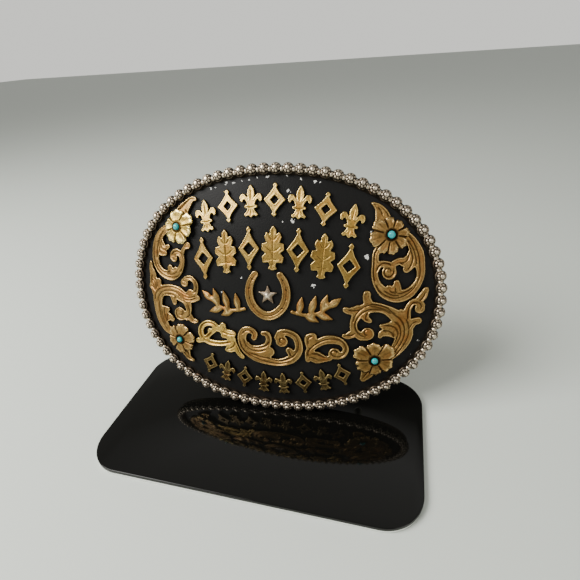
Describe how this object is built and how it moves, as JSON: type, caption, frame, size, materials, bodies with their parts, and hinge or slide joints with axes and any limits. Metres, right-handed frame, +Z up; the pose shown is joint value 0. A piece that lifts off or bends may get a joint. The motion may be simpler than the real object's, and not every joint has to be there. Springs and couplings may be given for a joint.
{
  "type": "western trophy buckle on a leaning display stand",
  "caption": "Domed oval trophy buckle with raised scrolls, flowers with round stones and a beaded rim, leaning on a thin black display plate.",
  "frame": {"origin": "middle of the underside of the stand's base, on the surface that it stands on", "axes": "+X to the viewer's right along the buckle's width, +Y away from the viewer towards the back, +Z up"},
  "size_m": [0.1029, 0.0647, 0.0772],
  "materials": {
    "black_ground": "black antiqued enamel, slightly worn",
    "silver": "aged silver plate with dark recesses",
    "bronze": "aged bronze, engraved, with polished edges",
    "gold": "brighter gold-coloured brass",
    "turquoise": "polished turquoise stone",
    "stand_black": "polished black acrylic"
  },
  "bodies": {
    "root": {"face_plate": "black_ground", "bead_edge": "silver", "star": "silver", "belt_loop": "silver", "belt_prong": "silver", "stand_base": "stand_black", "stand_post": "stand_black", "horseshoe": "bronze", "spray_left": "bronze", "spray_right": "bronze", "scroll_upper_left": "bronze", "scroll_upper_right": "bronze", "scroll_lower_left": "bronze", "scroll_lower_right": "bronze", "scroll_bottom_middle": "bronze", "scroll_bottom_right": "bronze", "flower_upper_right": "bronze", "flower_lower_left": "bronze", "flower_lower_right": "bronze", "scroll_bottom_left": "gold", "flower_upper_left": "gold", "row_top_1": "gold", "row_top_2": "gold", "row_top_3": "gold", "row_top_4": "gold", "row_top_5": "gold", "row_top_6": "gold", "row_top_7": "gold", "row_mid_1": "gold", "row_mid_2": "gold", "row_mid_3": "gold", "row_mid_4": "gold", "row_mid_5": "gold", "row_mid_6": "gold", "row_mid_7": "gold", "row_low_1": "gold", "row_low_2": "gold", "row_low_3": "gold", "row_low_4": "gold", "row_low_5": "gold", "row_low_6": "gold", "row_low_7": "gold", "row_low_8": "gold", "stone_upper_left": "turquoise", "stone_upper_right": "turquoise", "stone_lower_left": "turquoise", "stone_lower_right": "turquoise"}
  },
  "joints": []
}
